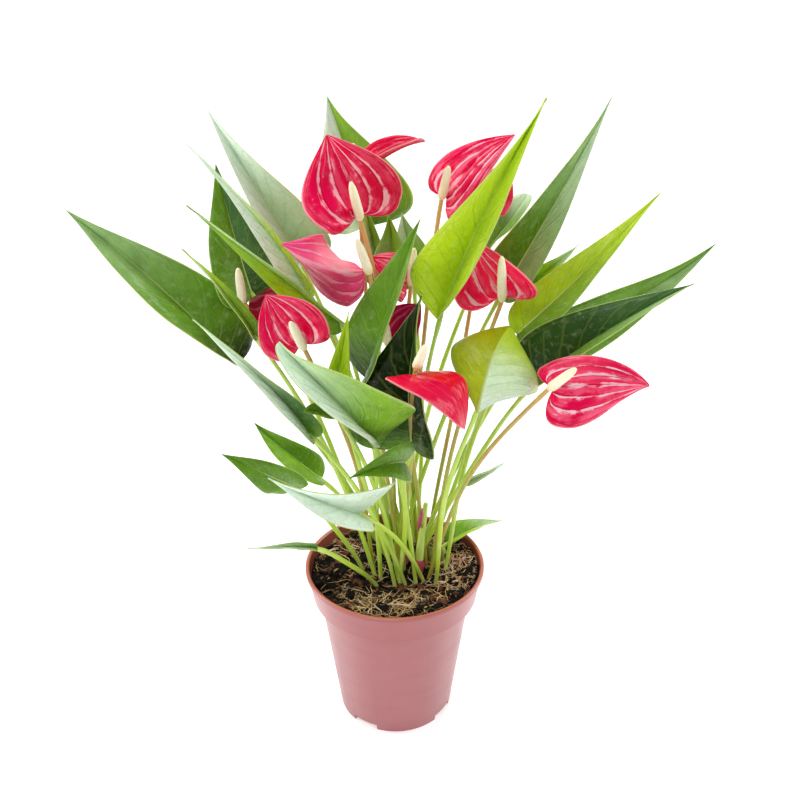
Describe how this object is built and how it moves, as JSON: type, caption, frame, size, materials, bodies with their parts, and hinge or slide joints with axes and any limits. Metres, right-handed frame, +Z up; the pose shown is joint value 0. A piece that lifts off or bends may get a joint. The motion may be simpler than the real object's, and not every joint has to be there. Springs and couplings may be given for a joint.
{
  "type": "potted anthurium",
  "caption": "Young anthurium in a round nursery pot: pointed glossy leaves on thin petioles round heart-shaped red spathes, each with a cream spadix, over bare fibrous potting mix.",
  "frame": {"origin": "on the pot's axis, at the level of its feet", "axes": "+Z up along the pot's axis; -Y towards the plant's front; X across, where the leaves spread widest"},
  "size_m": [0.393, 0.2061, 0.4246],
  "materials": {
    "pot_plastic": "satin",
    "potting_mix": "rough",
    "leaf": "glossy",
    "young_leaf": "glossy",
    "spathe": "glossy",
    "spadix": "matte"
  },
  "bodies": {
    "root": {"pot": "pot_plastic", "potting_mix": "potting_mix", "leaf_left_broad": "leaf", "leaf_left_pale": "leaf", "leaf_left_upright": "leaf", "leaf_left_folded": "leaf", "leaf_left_bright": "young_leaf", "leaf_left_slim": "young_leaf", "leaf_left_trough": "leaf", "leaf_front_pale": "leaf", "leaf_tucked_left": "leaf", "leaf_low_left_back": "leaf", "leaf_low_left": "leaf", "leaf_low_front": "leaf", "leaf_small_front": "leaf", "leaf_low_left_slim": "leaf", "leaf_low_right": "leaf", "leaf_centre_tall": "young_leaf", "leaf_centre_mid": "leaf", "leaf_bright_slim": "young_leaf", "leaf_centre_dark": "leaf", "leaf_top_back": "leaf", "leaf_back_narrow": "leaf", "leaf_back_short": "leaf", "leaf_back_right": "leaf", "leaf_right_tall": "leaf", "leaf_right_bright": "young_leaf", "leaf_right_back": "leaf", "leaf_right_dark": "leaf", "leaf_front_right": "leaf", "leaf_back_lobe": "leaf", "leaf_back_tip": "young_leaf", "leaf_low_back": "leaf", "spathe_upper_left": "spathe", "spadix_upper_left": "spadix", "spathe_upper_right": "spathe", "spadix_upper_right": "spadix", "spathe_side_left": "spathe", "spadix_side_left": "spadix", "spathe_dark_left": "spathe", "spadix_dark_left": "spadix", "spathe_lower_left": "spathe", "spadix_lower_left": "spadix", "spathe_centre_right": "spathe", "spadix_centre_right": "spadix", "spathe_right_low": "spathe", "spadix_right_low": "spadix", "spathe_front_red": "spathe", "spadix_front_red": "spadix", "spathe_back_magenta": "spathe", "spadix_back_magenta": "spadix", "spathe_back_pink": "spathe", "spadix_back_pink": "spadix", "spathe_behind_edge": "spathe", "spadix_behind_edge": "spadix", "spathe_behind_small": "spathe", "spadix_behind_small": "spadix"}
  },
  "joints": []
}
